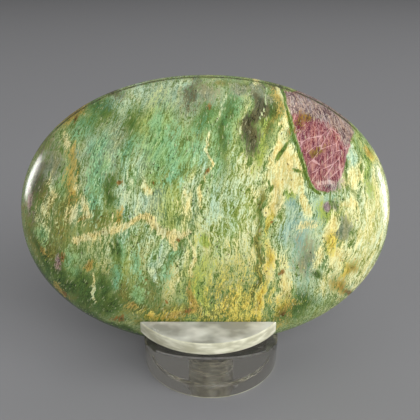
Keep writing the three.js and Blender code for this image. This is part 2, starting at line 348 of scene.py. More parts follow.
        (-3.7, -17.3, 0.6, 0.6, 0, 0.9), (-10.7, -10.5, 0.3, 0.3, 0, 1.3),
        (-12.7, -14.5, 0.3, 0.3, 0, 1.3), (-6.9, -14.3, 0.3, 0.3, 0, 1.3),
        (-23.3, 19, 0.6, 0.4, 0, 1.1), (-26.8, -14.2, 0.6, 0.7, 40, 0.9),
    ]},
    "frost": {"lenses": [
        (21.8, 7.1, 0.4, 1.7, 0, 0.8),
    ], "veins": [
        (0.15, 0.9, [(15.3, 19.3), (16.7, 21)]),
    ]},
    "lime": {"lenses": [
        (0.3, -2.5, 1.1, 0.7, 0, 1.2), (15.6, 5.7, 1.5, 1.5, 0, 0.6), (10.1, 13.8, 3, 0.7, 14, 0.7),
        (29.5, 8.9, 3.4, 0.7, -22, 0.7), (22, 1.2, 1.5, 1.9, 60, 0.5), (-1, -12.4, 4.1, 1.3, 8, 0.3),
    ]},
    "blueTeal": {"lenses": [
        (15.5, 0.2, 3.4, 1.5, 0, 0.9), (17, -2.3, 1.9, 1.1, 0, 0.8), (15.1, 3.1, 1.1, 1.3, 0, 0.9),
        (17.2, -2.8, 3, 1.9, 4, 0.8), (19.5, -8.3, 1.9, 1.1, 6, 0.7),
    ]},
    "slate": {"lenses": [
        (10.4, 22.7, 1.7, 1.7, 10, 1.7), (24.2, -2.1, 1.9, 1.7, 0, 1), (23.4, 2.4, 1.1, 0.7, 0, 0.9),
        (18.5, -7.5, 3, 1.7, 0, 0.5), (-28.2, 10.8, 3.4, 1.9, 18, 0.6), (0.3, 23.1, 1.9, 1.7, 6, 0.9),
        (6.8, 23.4, 1.1, 1.9, 0, 0.8),
    ]},
    "leaf": {"lenses": [
        (13.7, 12.6, 2.2, 0.4, 36, 1.5), (13.7, 16.9, 0.7, 0.2, 38, 1.1),
        (11.9, 6.3, 0.9, 0.3, 40, 1.2), (28.5, 9.3, 0.9, 0.3, -12, 1.3), (16.5, 9.2, 0.3, 0.9, 10, 0.8),
    ], "veins": [
        (0.24, 1.2, [(14.4, 23.4), (14.4, 20.5), (14.9, 18.1), (15.5, 15.6), (16.4, 13.2), (17.2, 10.6),
            (18.2, 7.9), (19.1, 6.2), (20.6, 5.2)]),
    ]},
    "silver": {"lenses": [
        (-15.2, -2.2, 1.9, 0.2, 10, 0.8),
    ], "veins": [
        (0.17, 1, [(11.6, 23.9), (10.8, 21.1), (9.8, 18.3)]),
        (0.17, 0.7, [(7.4, 20.9), (6.8, 18.2), (6.3, 15.8)]),
        (0.17, 0.6, [(4.1, 23), (3, 20.3), (2.3, 17.8)]),
    ]},
    "jade": {"lenses": [
        (-17.7, 20.6, 1.9, 4.1, 0, 1.2), (-21.7, 17.6, 1.9, 1.5, 0, 0.5),
        (-18.5, 13.1, 3.4, 1.1, 12, 0.5), (-13.8, 12.8, 4.1, 1.1, 18, 0.55),
        (-17.9, 6.8, 2.6, 1.3, 0, 0.5), (-0.7, 18.2, 2.2, 1.1, 14, 0.8),
        (-5.7, 12.7, 3.4, 1.3, 20, 0.6), (-14.7, 3.3, 1.7, 1.3, 0, 0.8),
        (-13.8, -2.1, 1.7, 1.5, 0, 0.6), (-22.4, 3.1, 1.9, 1.5, 0, 0.4), (-6.7, -6.9, 3.4, 0.9, 8, 0.5),
        (-17.1, -9.9, 3, 1.1, 4, 0.5), (-11.8, -8.2, 2.6, 0.9, 6, 0.4), (-5, 8.3, 1.5, 1.3, 0, 0.5),
        (-13.9, 7.9, 1.5, 1.1, 0, 0.4), (-20.5, 3.9, 1.9, 2.2, 0, 0.4), (-1.1, 13.1, 1.9, 1.1, 8, 0.5),
    ]},
}

# The other face shows the same beds where they come through, and a smaller corner of the ruby.
backMarkings = {
    "mint": {"lenses": [
        (-10, 12, 12, 8, 14, 0.9), (-24, 4, 9, 6, 6, 0.8), (4, -6, 12, 4, 10, 0.6),
        (20, -14, 7, 6, -10, 0.6), (-2, 20, 5, 10, 0, 0.6),
    ]},
    "yellowGreen": {"lenses": [
        (2, 0, 20, 9, 8, 0.8), (-16, -10, 10, 7, 4, 0.7), (24, 8, 10, 5, -12, 0.6),
    ]},
    "paleYellow": {"lenses": [(29, 0, 14, 6, 8, 1), (8, 6, 10, 2.4, 10, 0.6), (-30, 2, 8, 2, 0, 0.4)]},
    "olive": {"lenses": [
        (-31, -2, 12, 5, 0, 0.8), (-20, -20, 5, 12, 0, 0.6), (4, -22, 4, 12, 0, 0.7),
        (14, 18, 5, 4, 20, 0.6),
    ]},
    "emerald": {"lenses": [
        (-6, 6, 8, 3, 16, 1), (-14, -4, 6, 2.4, 10, 0.9), (-26, 12, 4, 3, 30, 0.9),
        (10, 12, 7, 2, 6, 0.8), (-2, -14, 6, 3, 10, 0.8),
    ]},
    "teal": {"lenses": [(19, -6, 8, 4.5, 0, 1.1), (-20, 8, 5, 1.6, 16, 0.8), (2, 22, 1.5, 6, 0, 0.7)]},
    "blueTeal": {"lenses": [(17, -2, 3.5, 1.6, 0, 0.8)]},
    "deepGreenAndPaintedShade": {"lenses": [
        (-12, 2, 6, 1.4, 10, 0.6), (8, -4, 9, 0.5, 4, 1), (-24, -16, 5, 4, -30, 0.6),
        (18, -18, 4, 4, 20, 0.6), (-4, 14, 6, 1.4, 12, 0.5), (25, -10, 1, 2, 30, 0.6),
    ]},
    "lime": {"lenses": [(5, -2, 3, 1.2, 8, 0.8), (22, 2, 3, 1, -10, 0.7)]},
    "slate": {"lenses": [(-22, -12, 2.4, 1.5, 0, 0.6)]},
    "smoke": {"lenses": [(11, 17, 3, 0.9, 14, 0.5)]},
    "cream": {"lenses": [
        (14, 8, 5, 2.4, 10, 1.1), (-17, -8, 4, 0.8, 10, 0.9), (-6, -2, 5, 0.5, 14, 0.8),
    ], "veins": [
        (1.2, 1.1, [(10, 25), (11, 18), (13, 11), (12, 4), (13, -4), (11, -12), (12, -22)]),
    ]},
    "gold": {"lenses": [
        (12, -10, 5, 0.8, 4, 1.1), (-4, -22, 1, 3.5, 0, 0.9), (28, 12, 1.6, 0.9, -20, 1),
    ]},
    "ochre": {"lenses": [
        (-27, 14, 1, 3.4, -50, 1), (-25, -4, 1.4, 0.8, 0, 1.1), (2, -23, 0.8, 3.6, 0, 0.9),
        (25, -16, 1.2, 1.8, 40, 1.1),
    ]},
    "peach": {"veins": [(0.5, 1.1, [(-26, -6), (-20, -4), (-14, 0), (-10, -1), (-5, -4)])]},
    "ruby": {"outlines": [
        (1, [(19, 20), (20, 14), (22, 8), (25, 4), (28, 6), (29, 11), (27, 16), (23, 19)]),
    ]},
    "mauve": {"outlines": [(1, [(19, 20), (20, 15.5), (24, 15), (27.5, 14), (26, 17), (23, 19.5)])]},
    "rust": {"lenses": [
        (-25, -4.5, 0.7, 0.5, 0, 1.2), (3, -23, 0.8, 0.7, 0, 1), (11, 6, 0.4, 0.3, 0, 1.2),
        (-9, 3, 0.4, 0.4, 0, 1.2), (23, 9, 0.6, 1.4, -30, 0.9),
    ]},
    "leaf": {"veins": [(0.4, 1.2, [(18.5, 20), (19.5, 14), (21.5, 8), (24.5, 3.5)])]},
    "silver": {"veins": [(0.25, 0.9, [(2, 22), (1, 16), (-0.5, 10)])]},
}


# Distance to the nearest stretch of a line of points, by dropping a foot on each stretch.
def lineDistance(at, line):
    line = np.array(line, float)
    best = np.full(len(at), 1e9)
    for start, end in zip(line[:-1], line[1:]):
        run = end - start
        share = np.clip(((at - start) @ run) / (run @ run), 0, 1)
        best = np.minimum(best, np.linalg.norm(at - start - share[:, None] * run, axis=1))
    return best


# Whether points lie in an outline: a ray along +X crosses it an odd number of times.
def insideOutline(at, line):
    inside = np.zeros(len(at), bool)
    for (x0, z0), (x1, z1) in zip(line, line[1:] + line[:1]):
        if z0 != z1:
            crosses = (z0 > at[:, 1]) != (z1 > at[:, 1])
            inside ^= crosses & (at[:, 0] < (x1 - x0) * (at[:, 1] - z0) / (z1 - z0) + x0)
    return inside


markingRules = {
    "lowest": -1.5,  # where there is none of a mineral
    "highest": 1.4,
    "fadeDepth": 7,  # mm past the stone's middle at which a side's markings have lost
    "fadeLoss": 2,  # this much
    "wander": 1.0,  # how much the outlines are bent
    "sharpWander": 0.25,
    "sharp": ("ruby", "mauve", "leaf", "frost", "silver"),  # crystals and seams bend less
}


# How far inside a mineral's patches each point is: strength times (1 - distance / half size),
# or for an outline strength times the depth in millimetres; the highest of all the patches.
def markingField(at, marks):
    field = np.full(len(at), markingRules["lowest"])
    for x, z, halfLength, halfWidth, lean, strength in marks.get("lenses", []):
        sine, cosine = math.sin(math.radians(lean)), math.cos(math.radians(lean))
        dx, dz = at[:, 0] - x, at[:, 1] - z
        reach = np.hypot((dx * sine + dz * cosine) / halfLength, (dx * cosine - dz * sine) / halfWidth)
        field = np.maximum(field, strength * (1 - reach))
    for halfWidth, strength, line in marks.get("veins", []):
        field = np.maximum(field, strength * (1 - lineDistance(at, line) / halfWidth))
    for strength, line in marks.get("outlines", []):
        depth = lineDistance(at, line + line[:1])
        field = np.maximum(field, strength * np.where(insideOutline(at, line), depth, -depth))
    return np.minimum(field, markingRules["highest"])


# A side's markings fade over the edge, in proportion to the depth past the middle.
def sideFade(depth):
    return markingRules["fadeLoss"] * np.clip(depth / markingRules["fadeDepth"], 0, 1)


def setAttribute(mesh, name, kind, values):
    attribute = mesh.attributes.new(name, kind, "POINT")
    field = "vector" if kind == "FLOAT_VECTOR" else "value"
    attribute.data.foreach_set(field, values.astype(np.float32).ravel())


# Bends straight outlines into natural ones: each coordinate is shifted by a sum of sine waves whose
# own phases are bent by a slower wave, from about 13 mm down to 2 mm long.
def wander(at, amount):
    x, z = at.T
    shift = np.zeros_like(at)
    for length, size, phase in ((4.1, 0.55, 0.3), (2.3, 0.35, 1.9), (1.3, 0.2, 4.1), (0.7, 0.1, 2.6)):
        bend = 1.3 * np.sin((0.8 * x - z) / length + phase)
        shift[:, 0] += size * np.sin((0.9 * z + 0.4 * x) / (0.5 * length) + bend + 2 * phase)
        shift[:, 1] += size * np.sin((0.8 * x - 0.5 * z) / (0.5 * length) - bend + 3 * phase)
    return at + amount * shift


low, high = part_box("palm_stone")
stoneCentre = np.array((low + high) / 2) / mm
stoneDirection = stoneGrid(stone)
stoneShape = stonePoints(stoneDirection, stone)
stoneIn = stone["inset"] + stone["unevenness"] * swells(stoneShape)
stoneShape -= stoneDirection * stoneIn[:, None]
stonePiece = newPiece("stone", standStone(stoneShape, stone, stoneCentre),
                      ringFaces(stone["rings"] - 1, stone["turns"]))
stoneMesh = stonePiece.data

stoneX, stoneY, stoneZ = stoneShape.T
stoneAt = np.stack([stoneX, stoneZ], 1)
for mineral in frontMarkings:
    amount = markingRules["sharpWander" if mineral in markingRules["sharp"] else "wander"]
    markingAt = wander(stoneAt, amount)
    front = markingField(markingAt, frontMarkings[mineral]) - sideFade(stoneY)
    back = markingField(markingAt, backMarkings.get(mineral, {})) - sideFade(-stoneY)
    field = np.maximum(np.maximum(front, back), markingRules["lowest"])
    setAttribute(stoneMesh, mineral, "FLOAT", field)

# Along the top a broken dark line is painted shade, the dark outline where the top edge turns away from
# the light:
# field = strength - distance / half width - (lowest height - z) / fade, the last from 0 to its loss.
topEdgeShade = {
    "inFront": 2.4,  # mm in front of the middle
    "halfWidth": 0.5,
    "strength": 0.4,
    "lowest": 17,
    "fade": 4,
    "fadeLoss": 2,
}
topEdgeShadeField = topEdgeShade["strength"] - np.abs(stoneY + topEdgeShade["inFront"]) / topEdgeShade["halfWidth"]
topEdgeShadeField -= np.clip((topEdgeShade["lowest"] - stoneZ) / topEdgeShade["fade"], 0, topEdgeShade["fadeLoss"])
setAttribute(stoneMesh, "paintedTopEdgeShade", "FLOAT", np.maximum(topEdgeShadeField, markingRules["lowest"]))

# The grain is the distance across the mica sheets, the depth, and the height along them:
# across = x - (lean - change * x) z, plus each wave's size * sin(z / its height + x / its width
# + its phase), plus share * y, plus z squared / bend towards the right end and a share of that
# the other way towards the left, less z squared / its own bend in the upper left. Millimetres.
bends = {
    "lean": 0.17,
    "leanChange": 0.006,
    "waves": ((0.9, 7.5, 14, 0.8), (0.25, 2.6, 5, 0)),
    "depthShare": 0.15,
    "rightEnd": (18, 14),  # where the end starts, and how far on it is full
    "leftEnd": (22, 12),  # the same towards -X
    "leftShare": 0.5,
    "endBend": 60,
    "upperLeft": 22,
    "upperLeftBend": 110,
}
rightEnd = np.clip((stoneX - bends["rightEnd"][0]) / bends["rightEnd"][1], 0, 1)
leftEnd = np.clip((-stoneX - bends["leftEnd"][0]) / bends["leftEnd"][1], 0, 1)
upperLeft = np.clip(-stoneX / bends["upperLeft"], 0, 1) * np.maximum(stoneZ, 0) ** 2
grainAcross = stoneX - (bends["lean"] - bends["leanChange"] * stoneX) * stoneZ
for size, high, wide, phase in bends["waves"]:
    grainAcross += size * np.sin(stoneZ / high + stoneX / wide + phase)
grainAcross += bends["depthShare"] * stoneY - upperLeft / bends["upperLeftBend"]
grainAcross += (rightEnd - bends["leftShare"] * leftEnd) * stoneZ ** 2 / bends["endBend"]
setAttribute(stoneMesh, "grain", "FLOAT_VECTOR", np.stack([grainAcross, stoneY, stoneZ], 1))
print("stone:", len(stoneMesh.polygons), "faces")

# Each mineral's darker and paler tone, how ragged its edge is, and how soft.
minerals = {
    "mint": ("#728a6c", "#ccd8c0", 1.8, 0.35),
    "yellowGreen": ("#788c3c", "#d0d894", 1.8, 0.35),
    "paleYellow": ("#bcb868", "#fffcdc", 1.7, 0.40),
    "olive": ("#4c5220", "#a09c58", 2.0, 0.30),
    "emerald": ("#5c8c54", "#b0d09c", 1.8, 0.35),
    "jade": ("#42704a", "#a2d0a8", 1.8, 0.35),
    "teal": ("#90ac92", "#e4f2dc", 1.8, 0.35),
    "blueTeal": ("#749894", "#c8dcd0", 1.8, 0.35),
    # The dark green mineral's tones, also used for painted shade along the lower-left edge.
    "deepGreenAndPaintedShade": ("#20360f", "#648040", 2.4, 0.30),
    "lime": ("#788c38", "#c0cc70", 2.0, 0.30),
    "slate": ("#687058", "#a8a890", 1.8, 0.30),
    "smoke": ("#2c2818", "#706c50", 1.8, 0.35),
    "cream": ("#d8c078", "#fffbd0", 1.2, 0.26),
    "gold": ("#a88c28", "#f8e480", 1.7, 0.40),
    "ochre": ("#7c6828", "#d0b468", 2.2, 0.36),
    "peach": ("#a89858", "#fcf0c4", 2.3, 0.34),
    "ruby": ("#742e42", "#c48a94", 0.45, 0.15),
    "mauve": ("#583c48", "#c4aab0", 1.1, 0.35),
    "rust": ("#403010", "#a47c44", 2.2, 0.32),
    "leaf": ("#44581c", "#7c9448", 1.0, 0.25),
    "frost": ("#c0909a", "#e8ccd0", 0.8, 0.25),
    "silver": ("#a8b48c", "#e8ecc8", 0.9, 0.25),
    # The top-edge line's tones are painted shade, darker where the stone turns away from the light.
    "paintedTopEdgeShade": ("#2c2818", "#58583c", 1.8, 0.40),
}

# Noises laid along the grain: sizes across, deep and along the mica sheets in millimetres, detail,
# roughness and distortion. The real sheets are finer than 0.1 mm, so the finest is drawn coarser.
grainNoises = {
    "streaks": ((0.75, 2.0, 4.2), 3, 0.65, 0.4),
    "fibres": ((0.18, 0.5, 1.7), 2, 0.65, 0.3),
    "speckle": ((0.22, 0.22, 0.34), 1, 0.6, 0.0),
    "blotches": ((1.9, 3.0, 3.2), 5, 0.7, 0.6),
    "tints": ((1.2, 3.0, 5.0), 4, 0.65, 0.8),
}
toneShares = {"streaks": 1.7, "fibres": 3.7, "speckle": 1.9, "blotches": 1.7}
edgeShares = {"streaks": 1.2, "fibres": 1.4, "speckle": 0.9, "blotches": 0.9}

stoneLook = {
    "darkMica": "#647c3c",  # the green ground between the other minerals
    "paleMica": "#c4d09c",
    "crumpleScale": 0.5,  # folds in the sheets about 2 mm across
    "crumpleDetail": 3.0,
    "crumpleShift": 1.3,  # mm
    "yellowTint": "#fffbd0",
    "blueTint": "#e4f6e8",
    "tintFrom": 0.38,
    "tintTo": 0.62,
    "tintShare": 0.9,
    "crackTurn": -38,  # degrees
    "crackCells": (4.8, 4.0, 1.5),  # mm
    "crackWidth": 0.05,  # of a cell, at the most
    "crackFrom": 0.4,  # cracks show where the blotches are above this
    "crackTo": 0.62,  # and are widest above this
    "crackStrength": 0.6,
    "crackColour": "#e4b8b4",
    "polishRoughness": 0.22,
    "ior": 1.58,
    "bumpStrength": 0.25,
    "bumpHeight": 0.06,  # mm
}

# Fuchsite schist with ruby, sawn, lapped and tumbled to a polish: silky streaks of green mica run
# one way, other minerals break them up in ragged patches, and the polish gives sharp clear lights.
stoneMaterial = newMaterial("polishedRubyFuchsite")
tree = stoneMaterial.node_tree
grain = addNode(tree, "Attribute", {"attribute_name": "grain"}).outputs["Vector"]

# The sheets are crumpled: the grain is shifted by a distance times a noise less a half.
crumple = addNode(tree, "TexNoise", {}, {
    "Vector": grain, "Scale": stoneLook["crumpleScale"],
    "Detail": stoneLook["crumpleDetail"]}).outputs["Color"]
crumple = addNode(tree, "VectorMath", {"operation": "SUBTRACT"},
                  {0: crumple, 1: (0.5, 0.5, 0.5)}).outputs[0]
grain = addNode(tree, "VectorMath", {"operation": "MULTIPLY_ADD"},
                {0: crumple, 1: [stoneLook["crumpleShift"]] * 3, 2: grain}).outputs[0]
noises = {}
for name, (sizes, detail, roughness, distortion) in grainNoises.items():
    scaled = addNode(tree, "Mapping", {},
                     {"Vector": grain, "Scale": [1 / size for size in sizes]})
    noises[name] = addNode(tree, "TexNoise", {}, {
        "Vector": scaled.outputs[0], "Scale": 1.0, "Detail": detail, "Roughness": roughness,
        "Distortion": distortion}).outputs["Fac"]

# Each noise lies about 0.5: the tone's shares are summed to lie about 0.5, the edges' about 0.
tone = 0.5 - 0.5 * sum(toneShares.values())
for name, share in toneShares.items():
    tone = addNode(tree, "Math", {"operation": "MULTIPLY_ADD"},
                   {0: noises[name], 1: share, 2: tone}).outputs[0]
tone = addNode(tree, "Clamp", {}, {"Value": tone}).outputs[0]
ragged = -0.5 * sum(edgeShares.values())
for name, share in edgeShares.items():
    ragged = addNode(tree, "Math", {"operation": "MULTIPLY_ADD"},
                     {0: noises[name], 1: share, 2: ragged}).outputs[0]

dark = toLinear(stoneLook["darkMica"])
pale = toLinear(stoneLook["paleMica"])
shares = {}
for mineral, (darkTone, paleTone, raggedness, softness) in minerals.items():
    field = addNode(tree, "Attribute", {"attribute_name": mineral}).outputs["Fac"]
    field = addNode(tree, "Math", {"operation": "MULTIPLY_ADD"},
                    {0: ragged, 1: raggedness, 2: field}).outputs[0]
    share = addNode(tree, "MapRange", {"interpolation_type": "SMOOTHSTEP"},
                    {"Value": field, "From Min": -softness, "From Max": softness}).outputs[0]
    shares[mineral] = share
    dark = addNode(tree, "Mix", {"data_type": "RGBA"},
                   {0: share, 6: dark, 7: toLinear(darkTone)}).outputs[2]
    pale = addNode(tree, "Mix", {"data_type": "RGBA"},
                   {0: share, 6: pale, 7: toLinear(paleTone)}).outputs[2]
colour = addNode(tree, "Mix", {"data_type": "RGBA"}, {0: tone, 6: dark, 7: pale}).outputs[2]

# The mica is stained yellower in some streaks and stays bluer in others.
tintShare = addNode(tree, "MapRange", {}, {
    "Value": noises["tints"], "From Min": stoneLook["tintFrom"],
    "From Max": stoneLook["tintTo"]}).outputs[0]
tint = addNode(tree, "Mix", {"data_type": "RGBA"}, {
    0: tintShare, 6: toLinear(stoneLook["yellowTint"]),
    7: toLinear(stoneLook["blueTint"])}).outputs[2]
colour = addNode(tree, "Mix", {"data_type": "RGBA", "blend_type": "MULTIPLY"},
                 {0: stoneLook["tintShare"], 6: colour, 7: tint}).outputs[2]

# Cracks across the ruby, about 1.5 mm apart: thin edges between long cells that rise to the right.
place = addNode(tree, "TexCoord").outputs["Object"]
crackTurn = addNode(tree, "Mapping", {"vector_type": "TEXTURE"}, {
    "Vector": place, "Rotation": (0, math.radians(stoneLook["crackTurn"]), 0),
    "Scale": [size * mm for size in stoneLook["crackCells"]]}).outputs[0]
crackCells = addNode(tree, "TexVoronoi", {"feature": "DISTANCE_TO_EDGE"},
                     {"Vector": crackTurn, "Scale": 1.0}).outputs[0]
crackWidth = addNode(tree, "MapRange", {}, {
    "Value": noises["blotches"], "From Min": stoneLook["crackFrom"],
    "From Max": stoneLook["crackTo"], "To Min": 0.0,
    "To Max": stoneLook["crackWidth"]}).outputs[0]
crack = addNode(tree, "Math", {"operation": "LESS_THAN"}, {0: crackCells, 1: crackWidth}).outputs[0]
bareRuby = addNode(tree, "Math", {"operation": "SUBTRACT", "use_clamp": True},
                   {0: shares["ruby"], 1: shares["mauve"]}).outputs[0]
for factor in (bareRuby, stoneLook["crackStrength"]):
    crack = addNode(tree, "Math", {"operation": "MULTIPLY"}, {0: crack, 1: factor}).outputs[0]
colour = addNode(tree, "Mix", {"data_type": "RGBA"},
                 {0: crack, 6: colour, 7: toLinear(stoneLook["crackColour"])}).outputs[2]

# Pits, and pale mica spots that are partly painted glints: in cells along the grain, spots nearer than
# a set distance to the cell's own point, in the cells whose random value is high enough. Cell sizes in
# mm, radius, least random value, colour, strength. Each spot fades in from the first share of its
# radius to the second.
spots = {
    "pits": ((0.85, 0.9, 1.2), 0.15, 0.6, "#2c2410", 0.8),
    "flakesAndPaintedGlints": ((0.35, 0.8, 1.8), 0.24, 0.5, "#f2f0c0", 0.32),
}
spotFade = (1.4, 0.6)
# No pits or pale spots fall in the painted shade along the top edge.
offTopEdgeShade = addNode(tree, "Math", {"operation": "SUBTRACT"},
                    {0: 1.0, 1: shares["paintedTopEdgeShade"]}).outputs[0]
for name, (sizes, radius, least, spotColour, strength) in spots.items():
    scaled = addNode(tree, "Mapping", {},
                     {"Vector": grain, "Scale": [1 / size for size in sizes]})
    cells = addNode(tree, "TexVoronoi", {}, {"Vector": scaled.outputs[0], "Scale": 1.0})
    near = addNode(tree, "MapRange", {"interpolation_type": "SMOOTHSTEP"},
                   {"Value": cells.outputs["Distance"], "From Min": radius * spotFade[0],
                    "From Max": radius * spotFade[1]}).outputs[0]
    cellValue = addNode(tree, "SeparateColor", {}, {0: cells.outputs["Color"]}).outputs[0]
    chosen = addNode(tree, "Math", {"operation": "GREATER_THAN"}, {0: cellValue, 1: least}).outputs[0]
    for factor in (chosen, offTopEdgeShade, strength):
        near = addNode(tree, "Math", {"operation": "MULTIPLY"}, {0: near, 1: factor}).outputs[0]
    colour = addNode(tree, "Mix", {"data_type": "RGBA"},
                     {0: near, 6: colour, 7: toLinear(spotColour)}).outputs[2]

height = addNode(tree, "Math", {}, {0: noises["fibres"], 1: noises["speckle"]}).outputs[0]
bump = addNode(tree, "Bump", {}, {
    "Strength": stoneLook["bumpStrength"], "Distance": stoneLook["bumpHeight"] * mm,
    "Height": height}).outputs[0]
shader = addNode(tree, "BsdfPrincipled", {},
                 {"Base Color": colour, "Roughness": stoneLook["polishRoughness"],
                  "IOR": stoneLook["ior"], "Normal": bump})
addNode(tree, "OutputMaterial", {}, {"Surface": shader.outputs[0]})
stoneMesh.materials.append(stoneMaterial)
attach(stonePiece, "root")
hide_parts("palm_stone")
print("stone material:", len(tree.nodes), "nodes")

# Sizes in millimetres.
stand = {
    "footAxis": 1.1,  # x
    "footRadius": 13.85,
    "footHeight": 11.7,
    "flangeAxis": 0.55,
    "flangeRadius": 15.6,
    "topHeight": 14.15,
    "edge": 0.3,  # radius of the rounded edges
    "slotWidth": 17.9,
    "slotFloor": 6.7,
    "slotCorner": 0.8,
    "grooveDepth": 1.9,
    "grooveRadius": 6.5,
    "recessRadius": 7.1,
    "recessDepth": 0.5,
    "boreRadius": 2.7,
    "boreDepth": 3.4,
    "boreTip": 0.7,
    "turns": 240,
    "markPitch": 0.5,  # of the turning marks in the bore
    "markDepth": 0.05,
    "markRings": 90,
    "roundSteps": 6,
    "cornerSteps": 8,
    "grooveSteps": 33,
    "cutReach": 30,  # how far the slot's cutting block goes past the stand
    "smoothAngle": 28,  # degrees, sharper edges stay sharp
    "slack": 0.01,  # how far a face's middle may lie off its surface
    "slotMiddle": 1,  # the slot's faces run right across, so their middles are this near the axis
    # Width of the white strip of painted highlight in the slot's corners:
    "highlightShare": 1 / 3,  # of each corner, next to the wall
}


# A section (axis, radius, height) turned: x = axis + r cos t, y = r sin t, z = height.
# The first and last points lie on the axis and become single corners.
def turnedPiece(name, section, stand):
    turn = np.linspace(0, 2 * math.pi, stand["turns"], endpoint=False)
    axis, radius, height = np.array(section[1:-1]).T[:, :, None]
    ring = np.stack([axis + radius * np.cos(turn), radius * np.sin(turn), height + 0 * turn], -1)
    ends = [[[section[i][0], 0, section[i][2]]] for i in (0, -1)]
    points = np.concatenate([ends[0], ring.reshape(-1, 3), ends[1]])
    return newPiece(name, points, ringFaces(len(radius), stand["turns"]))


# A quarter round: centre plus radius times (cos, sin) from one angle to another.
def quarterRound(centre, radius, fromAngle, toAngle, steps):
    angle = np.radians(np.linspace(fromAngle, toAngle, steps))
    return [(centre[0] + radius * math.cos(a), centre[1] + radius * math.sin(a)) for a in angle]


# Half the stand's section from the bore's tip round to the middle of the top. The turning marks
# take markDepth * (0.5 + 0.5 cos(2 pi z / pitch + 2 sin(5.3 z))) off the bore's radius, and the
# foot's points turn about its own axis and the flange's about theirs.
def standSection(stand):
    edge, steps = stand["edge"], stand["roundSteps"]
    foot, flange, top = stand["footRadius"], stand["flangeRadius"], stand["topHeight"]
    depth = np.linspace(stand["boreDepth"], stand["recessDepth"], stand["markRings"])
    marks = 0.5 + 0.5 * np.cos(2 * math.pi * depth / stand["markPitch"] + 2 * np.sin(depth * 5.3))
    footPart = [(0, stand["boreDepth"] + stand["boreTip"])]
    footPart += list(zip((stand["boreRadius"] - stand["markDepth"] * marks).tolist(), depth.tolist()))
    footPart += [(stand["recessRadius"], stand["recessDepth"]), (stand["recessRadius"], 0)]
    footPart += quarterRound((foot - edge, edge), edge, -90, 0, steps)
    footPart += [(foot, stand["footHeight"])]
    flangePart = quarterRound((flange - edge, stand["footHeight"] + edge), edge, -90, 0, steps)
    flangePart += quarterRound((flange - edge, top - edge), edge, 0, 90, steps)
    flangePart += [(0, top)]
    return ([(stand["footAxis"], *point) for point in footPart]
            + [(stand["flangeAxis"], *point) for point in flangePart])


# The slot's section carried along X: straight walls, quarter-round corners, and in the floor a
# groove of z = floor - depth + radius (1 - cos t) under the stone's lowest point.
def slotBlock(stand, grooveY):
    half, floor, corner = stand["slotWidth"] / 2, stand["slotFloor"], stand["slotCorner"]
    reach, steps = stand["cutReach"], stand["cornerSteps"]
    section = [(-half, reach)]
    section += quarterRound((-half + corner, floor + corner), corner, 180, 270, steps)
    radius, depth = stand["grooveRadius"], stand["grooveDepth"]
    turn = math.acos(1 - depth / radius) * np.linspace(-1, 1, stand["grooveSteps"])
    section += list(zip(grooveY + radius * np.sin(turn), floor - depth + radius * (1 - np.cos(turn))))
    section += quarterRound((half - corner, floor + corner), corner, 270, 360, steps)
    section += [(half, reach)]
    y, z = np.array(section).T
    count = len(y)
    ends = [np.stack([np.full(count, float(x)), y, z], 1) for x in (-reach, reach)]
    index = np.arange(count)
    after = (index + 1) % count
    sides = np.stack([index, index + count, after + count, after], 1).tolist()
    faces = sides + [index[::-1].tolist(), (index + count).tolist()]
    block = newPiece("slotBlock", np.concatenate(ends), faces)
    faceOutwards(block.data)
    return block


standPiece = turnedPiece("clearStand", standSection(stand), stand)
faceOutwards(standPiece.data)
stonePoint = standStone(stoneShape, stone, stoneCentre)
block = slotBlock(stand, float(stonePoint[stonePoint[:, 2].argmin(), 1]))
cut = standPiece.modifiers.new("slot", "BOOLEAN")
cut.operation = "DIFFERENCE"
cut.solver = "EXACT"
cut.object = block
bpy.context.view_layer.update()
evaluated = standPiece.evaluated_get(bpy.context.evaluated_depsgraph_get())
standMesh = bpy.data.meshes.new_from_object(evaluated)
standPiece.modifiers.clear()
standPiece.data = standMesh
bpy.data.objects.remove(block)
standMesh.shade_smooth()
standMesh.set_sharp_from_angle(angle=math.radians(stand["smoothAngle"]))

# Cast acrylic, turned on a lathe: the foot is flame polished, clear with sharp lights; the top is
# faced and half polished, clear with white cloudy spots of painted reflection; the rim is milky cream,
# painted reflection of the light and the stone's yellow-green; the slot is sawn, with a grey veil, and
# a white line of painted highlight in its corners; the bore is drilled and shows its rings.
# Tones where it is clear and cloudy, clear share there and there, roughness, noise sizes in mm.
acrylicFinishes = {
    "polishedAcrylic": ("#f6f4ee", "#f6f4ee", 1.0, 1.0, 0.02, None),
    # The top's white cloudy spots are painted reflections.
    "facedTopPaintedReflections": ("#f4f2e2", "#fffffa", 0.64, 0.22, 0.06, (5.5, 4.0, 3.0)),
    # The rim's milky cream tone is painted reflection of the light and the stone's yellow-green.
    "rimPaintedReflection": ("#f4f0c0", "#fffff0", 0.42, 0.10, 0.14, (3.2, 3.2, 1.0)),
    "sawnAcrylic": ("#dcdccc", "#f8f8ec", 0.88, 0.76, 0.20, (3.0, 0.6, 0.6)),
    # A white strip, painted highlight: the slot floor's edge catching the light.
    "slotEdgePaintedHighlight": ("#f4f4f0", "#ffffff", 0.10, 0.00, 0.30, (1.0, 1.0, 1.0)),
    "drilledAcrylic": ("#c8c4b0", "#fffbe8", 0.60, 0.15, 0.25, (1.6, 1.6, 0.5)),
}
acrylic = {
    "ior": 1.49,
    "depthColour": "#efe9d8",  # faintly warm through its depth
    "density": 12.0,  # per metre
    "cloudDetail": 2.5,
    "cloudRange": (0.40, 0.66),  # of the noise, from clear to cloudy
    "shineRange": (0.35, 0.75),
    "shineShares": (0.7, 1.4),  # of the finish's roughness
    "bumpStrength": 0.25,
    "bumpHeight": 0.08,  # mm
}
acrylics = []
